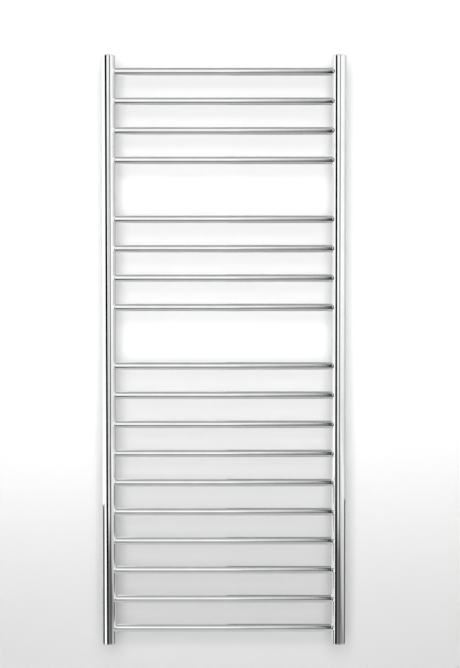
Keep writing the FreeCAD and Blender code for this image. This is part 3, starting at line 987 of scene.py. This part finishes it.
def stage_board(name: str, corners: list[Triple], material: bpy.types.Material,
                mirrored: bool) -> None:
    """Make a flat piece of the studio.

    Args:
        name: its name.
        corners: its four corners, counter-clockwise from the side that shows.
        material: its finish.
        mirrored: whether only reflections see it; if not, all but they see it.
    """
    mesh = bmesh.new()
    mesh.faces.new([mesh.verts.new(corner) for corner in corners])
    board = solid(name, mesh)
    board.data.materials.append(material)
    board.visible_glossy = mirrored
    board.visible_camera = not mirrored
    board.visible_diffuse = not mirrored
    board.visible_shadow = not mirrored
    board.visible_transmission = not mirrored


class Fade(Enum):
    """Which way a card's light changes: from its lower edge up, or from its left across."""

    UP = "Z"
    ACROSS = "X"


@dataclass(frozen=True)
class Card:
    """A board that only shows in reflections: black, grey or glowing.

    It stands upright on its lower edge, the foot, unless its upper edge, the head, is
    somewhere else.
    """

    name: str
    foot: Span
    bottom: float
    top: float
    first_glow: float
    last_glow: float
    fade: Fade = Fade.UP
    head: Span | None = None

    def build(self) -> None:
        """Make the board from its lower and its upper edge."""
        corners = [(*place, self.bottom) for place in self.foot]
        corners += [(*place, self.top) for place in reversed(self.head or self.foot)]
        stage_board(self.name, corners, self.glow(), mirrored=True)

    def glow(self) -> bpy.types.Material:
        """The board's own light."""
        material = bpy.data.materials.new(self.name)
        nodes = Nodes(material)
        ends = (self.bottom, self.top)
        if self.fade is Fade.ACROSS:
            ends = (self.foot[0][0], self.foot[1][0])
        place = nodes.axes("Object")[self.fade.value]
        nodes.shine(nodes.remap(place, ends, (self.first_glow, self.last_glow)))
        return material


@dataclass
class Studio:
    """The pale floor and wall, the soft light, what the steel mirrors, and the camera.

    The tones of the mat run from the wall forward, and beside it outward from the middle.
    The tones of the mirrored room run with a direction's height, from -1 straight down to 1
    straight up.
    """

    camera_place: Triple = (0.0127, -2.576, 0.101)
    camera_tilt: float = -1.5
    lens: float = 65.8
    sensor_width: float = 36.0
    wall_width: float = 3.6
    wall_top: float = 1.6
    # painted shade: heights and greys over which the wall's colour darkens towards the bottom
    wall_painted_shade_heights: Range = (-0.80, 0.20)
    wall_painted_shade_tones: Range = (0.57, 0.84)
    floor_height: float = -1.0
    floor_half: float = 4.0
    floor_tones: Range = (0.76, 0.80)
    floor_cloud_scale: float = 0.02
    floor_cloud_detail: float = 3.0
    floor_roughness: float = 0.9
    floor_gloss: float = 0.1
    mat_half: float = 6.0
    mat_lift: float = 0.01
    mat_edge: Range = (1.2, 1.5)
    mat_ends: Range = (0.0, -5.0)
    mat_tones: Stops = (
        (0.0, 0.68), (-0.4, 0.58), (-1.0, 0.34), (-1.5, 0.20), (-2.75, 0.20), (-3.375, 0.55),
        (-4.0, 1.0),
    )
    beside_tones: Stops = ((1.2, 0.22), (1.44, 0.25), (1.92, 0.58), (4.5, 1.0))
    front_tones: Stops = (
        (-1.0, 0.30), (-0.10, 0.80), (0.0, 1.0), (0.60, 1.0), (0.85, 0.46), (1.0, 0.34),
    )
    back_tones: Stops = (
        (-1.0, 0.35), (-0.7, 0.50), (-0.2, 0.55), (0.2, 0.66), (0.8, 0.52), (1.0, 0.34),
    )
    room_seam: Range = (-0.12, 0.12)
    mirror_gain: float = 1.35
    ambient: float = 0.42
    backdrop: float = 0.72
    softbox_power: float = 106.0
    softbox_size: Range = (1.8, 2.4)
    softbox_place: Triple = (-0.1, -3.2, 0.45)
    softbox_aim: Triple = (0.1, 3.2, -0.4)
    cards: tuple[Card, ...] = (
        Card("flag_left", ((-0.40, -0.385), (-0.22, -1.00)), -1.4, 1.8, 0.002, 0.002,
             head=((-0.548, -0.235), (-0.60, -0.85))),
        Card("softbox_left", ((-1.05, 0.55), (-0.56, -0.55)), -1.4, 1.9, 1.2, 1.2),
        Card("stand_black", ((0.30, -1.12), (0.41, -0.785)), -1.4, 1.2, 0.0, 0.02),
        Card("screen_low", ((0.06, -4.0), (0.60, -4.0)), -1.0, 0.95, 0.72, 0.05, Fade.ACROSS),
        Card("screen_high", ((0.20, -4.0), (0.80, -4.0)), 0.95, 4.6, 1.0, 0.45, Fade.ACROSS),
        Card("flag_side_left", ((-0.66, -0.20), (-0.60, 0.14)), -0.95, -0.38, 0.0, 0.12),
        Card("flag_side_right", ((0.57, 0.30), (0.727, 0.02)), -0.95, -0.38, 0.0, 0.08),
        Card("softbox_back", ((-1.40, 1.8), (-0.40, 2.2)), -1.0, 1.8, 1.2, 1.2),
        Card("flag_back", ((0.0, 2.15), (0.8, 2.0)), -1.0, 1.8, 0.03, 0.03),
    )

    def build(self) -> None:
        """Make the whole studio."""
        self.build_camera()
        self.build_wall()
        self.build_floor()
        self.build_mat()
        self.build_world()
        self.build_light()
        for card in self.cards:
            card.build()
        bpy.context.scene.view_settings.view_transform = "Standard"

    def build_camera(self) -> None:
        """The camera, tilted a little below level."""
        data = bpy.data.cameras.new("camera")
        data.lens = self.lens
        data.sensor_width = self.sensor_width
        camera = placed("camera", data)
        camera.location = self.camera_place
        camera.rotation_euler = (math.radians(90 + self.camera_tilt), 0, 0)
        bpy.context.scene.camera = camera

    def build_wall(self) -> None:
        """The wall behind the rack: pale paint with painted shade that darkens it below, that
        shows from the front only.
        """
        paint = Paint("wall_paint_painted_shade")
        height = paint.axes("Object")["Z"]
        # painted shade: the wall's colour darkens towards the bottom to stand in for the shade
        # there
        tone = paint.remap(height, self.wall_painted_shade_heights, self.wall_painted_shade_tones, "SMOOTHERSTEP")
        colour = paint.add("ShaderNodeCombineColor", Red=tone, Green=tone, Blue=tone)
        paint.feed(
            paint.shader, Base_Color=colour.outputs["Color"], Roughness=1.0,
            Specular_IOR_Level=0.0,
        )
        clear = paint.add("ShaderNodeBsdfTransparent").outputs["BSDF"]
        behind = paint.add("ShaderNodeNewGeometry").outputs["Backfacing"]
        one_sided = paint.blend(behind, paint.shader.outputs["BSDF"], clear)
        paint.feed(paint.output, Surface=one_sided)
        half = self.wall_width / 2
        low, high = self.floor_height, self.wall_top
        corners = [(-half, 0, low), (half, 0, low), (half, 0, high), (-half, 0, high)]
        stage_board("stage_wall", corners, paint.material, mirrored=False)

    def build_floor(self) -> None:
        """The pale floor, slightly cloudy."""
        paint = Paint("floor_paint")
        cloud = paint.noise(Grain.CLOUDY.value, self.floor_cloud_scale, self.floor_cloud_detail)
        dark, light = self.floor_tones
        colour = paint.tints(cloud, (dark, dark, dark), (light, light, light))
        paint.feed(
            paint.shader, Base_Color=colour, Roughness=self.floor_roughness,
            Specular_IOR_Level=self.floor_gloss,
        )
        half, low = self.floor_half, self.floor_height
        corners = [(-half, -half, low), (half, -half, low), (half, half, low), (-half, half, low)]
        stage_board("stage_floor", corners, paint.material, mirrored=False)

    def build_mat(self) -> None:
        """What the steel mirrors of the floor: a dark mat in front of the rack, then light."""
        material = bpy.data.materials.new("mirrored_floor")
        nodes = Nodes(material)
        axes = nodes.axes("Object")
        mat = nodes.curve(axes["Y"], self.mat_ends, self.mat_tones)
        aside = nodes.compute("ABSOLUTE", axes["X"])
        beside = nodes.curve(aside, (0.0, self.mat_half), self.beside_tones)
        edge = nodes.remap(aside, self.mat_edge, easing="SMOOTHSTEP")
        nodes.shine(nodes.mix(edge, mat, beside))
        half, low = self.mat_half, self.floor_height + self.mat_lift
        corners = [(-half, -half, low), (half, -half, low), (half, 0, low), (-half, 0, low)]
        stage_board("mirrored_floor", corners, material, mirrored=True)

    def build_world(self) -> None:
        """Even light all round, an open backdrop of its own tone, and a room to mirror."""
        world = bpy.data.worlds.new("studio")
        bpy.context.scene.world = world
        nodes = Nodes(world)
        axes = nodes.axes("Generated")
        front = nodes.curve(axes["Z"], (-1.0, 1.0), self.front_tones)
        back = nodes.curve(axes["Z"], (-1.0, 1.0), self.back_tones)
        room = nodes.mix(nodes.remap(axes["Y"], self.room_seam), front, back)
        mirrored = nodes.sky(nodes.compute("MULTIPLY", room, self.mirror_gain))
        rays = nodes.add("ShaderNodeLightPath").outputs
        seen = nodes.sky(self.backdrop)
        plain = nodes.blend(rays["Is Camera Ray"], nodes.sky(self.ambient), seen)
        surface = nodes.blend(rays["Is Glossy Ray"], plain, mirrored)
        nodes.add("ShaderNodeOutputWorld", Surface=surface)

    def build_light(self) -> None:
        """One broad softbox, in front and a little above."""
        data = bpy.data.lights.new("softbox_front", "AREA")
        data.shape = "RECTANGLE"
        data.size, data.size_y = self.softbox_size
        data.energy = self.softbox_power
        light = placed("softbox_front", data)
        light.location = self.softbox_place
        light.rotation_euler = Vector(self.softbox_aim).to_track_quat("-Z", "Y").to_euler()
        light.visible_glossy = False
        light.visible_camera = False


def main() -> None:
    """Build the studio, then the rack, piece by piece."""
    logging.basicConfig(level=logging.INFO, format="%(message)s")
    Studio().build()
    ladder = Ladder()
    Rails(ladder).build()
    for side in Side:
        Upright(ladder, side).build()
    finishes = (LEG_POLISH.material(), SPIGOT_TURNING.material(), SCREW_STEEL.material())
    for side in Side:
        for end in End:
            Standoff(ladder, side, end).build(*finishes)
    CableExit(ladder).build()
    HeatingCircuit().build()


if __name__ == "__main__":
    main()
